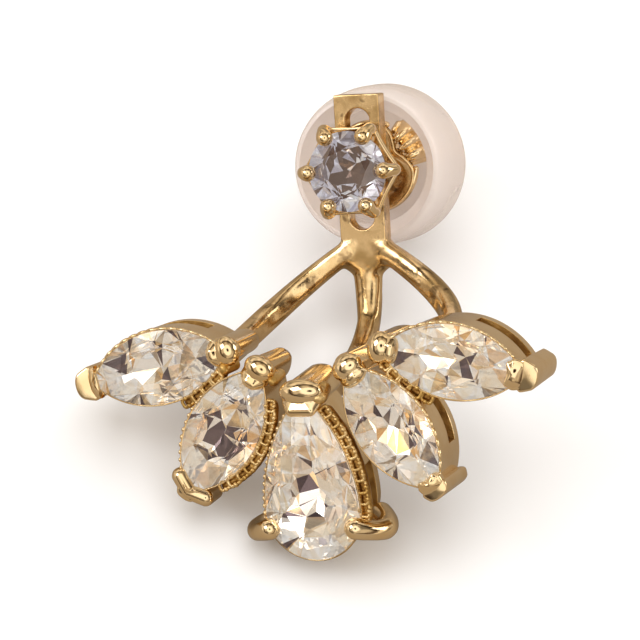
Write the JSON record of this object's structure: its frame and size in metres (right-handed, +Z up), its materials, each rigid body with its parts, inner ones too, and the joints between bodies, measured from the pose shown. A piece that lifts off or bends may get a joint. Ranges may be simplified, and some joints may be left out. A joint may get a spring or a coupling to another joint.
{
  "type": "ear jacket earring",
  "caption": "Stud earring with a round stone whose post passes through a slotted jacket; the jacket carries a fan of pear and marquise stones below the lobe, held by a butterfly clutch in a soft sleeve",
  "frame": {"origin": "Centre of the bottom of the bounding box, on the surface that the earring lies on", "axes": "+Z is up from that surface; +Y runs from the fan of stones towards the post's free end, the longest extent; +X is to the right of someone who faces the fan"},
  "size_m": [0.019, 0.024, 0.0111],
  "materials": {
    "gold": "polished yellow gold",
    "fan_stone": "polished facets, pale champagne",
    "round_stone": "polished facets, cool and clear",
    "silicone": "milky, satin"
  },
  "bodies": {
    "jacket": {"jacket_frame": "gold", "pear_stone": "fan_stone", "inner_stone_left": "fan_stone", "inner_stone_right": "fan_stone", "outer_stone_left": "fan_stone", "outer_stone_right": "fan_stone"},
    "stud": {"stud_setting": "gold", "stud_stone": "round_stone"},
    "clutch": {"clutch_metal": "gold", "clutch_silicone": "silicone"}
  },
  "joints": [
    {"name": "stud_slide", "type": "slide", "parent": "jacket", "child": "stud", "axis": [-0.2401, -0.7152, 0.6564], "range_m": [0, 0.0045]},
    {"name": "clutch_slide", "type": "slide", "parent": "jacket", "child": "clutch", "axis": [0.2401, 0.7152, -0.6564], "range_m": [0, 0.009]}
  ]
}
